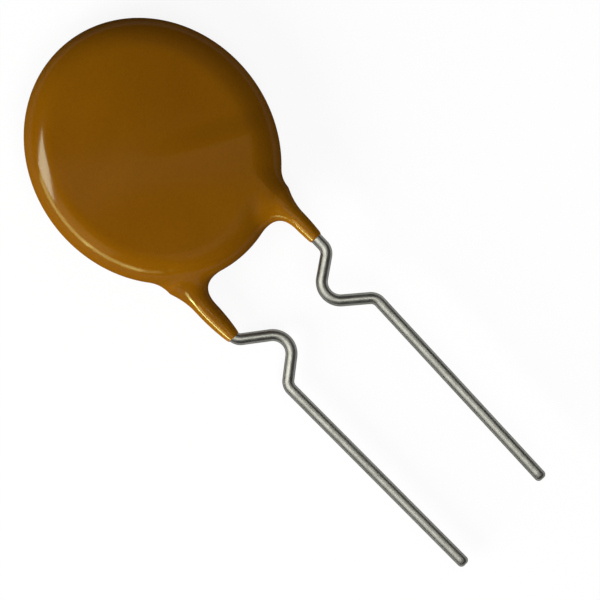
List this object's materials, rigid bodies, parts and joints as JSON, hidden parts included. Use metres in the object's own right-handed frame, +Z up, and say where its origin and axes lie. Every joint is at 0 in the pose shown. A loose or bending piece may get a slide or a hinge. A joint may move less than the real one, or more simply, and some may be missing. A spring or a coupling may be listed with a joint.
{
  "type": "resettable fuse",
  "caption": "Radial-leaded resettable fuse: oval dipped-epoxy disc with tapering legs down kinked tinned wire leads, limiting current in a circuit.",
  "frame": {"origin": "middle of the dipped body's oval, on its flat rear face", "axes": "+Z up out of the front face, leads leave towards -Y, +X towards the front lead's side"},
  "size_m": [0.0102, 0.0271, 0.0028],
  "materials": {
    "epoxy": "glossy dipped",
    "polymer": "matt",
    "foil": "rolled nickel-plated foil",
    "solder": "reflowed",
    "wire": "bright tinned"
  },
  "bodies": {
    "root": {"epoxy_coat": "epoxy", "ptc_disc": "polymer", "front_electrode": "foil", "rear_electrode": "foil", "front_solder": "solder", "rear_solder": "solder", "front_lead": "wire", "rear_lead": "wire"}
  },
  "joints": []
}
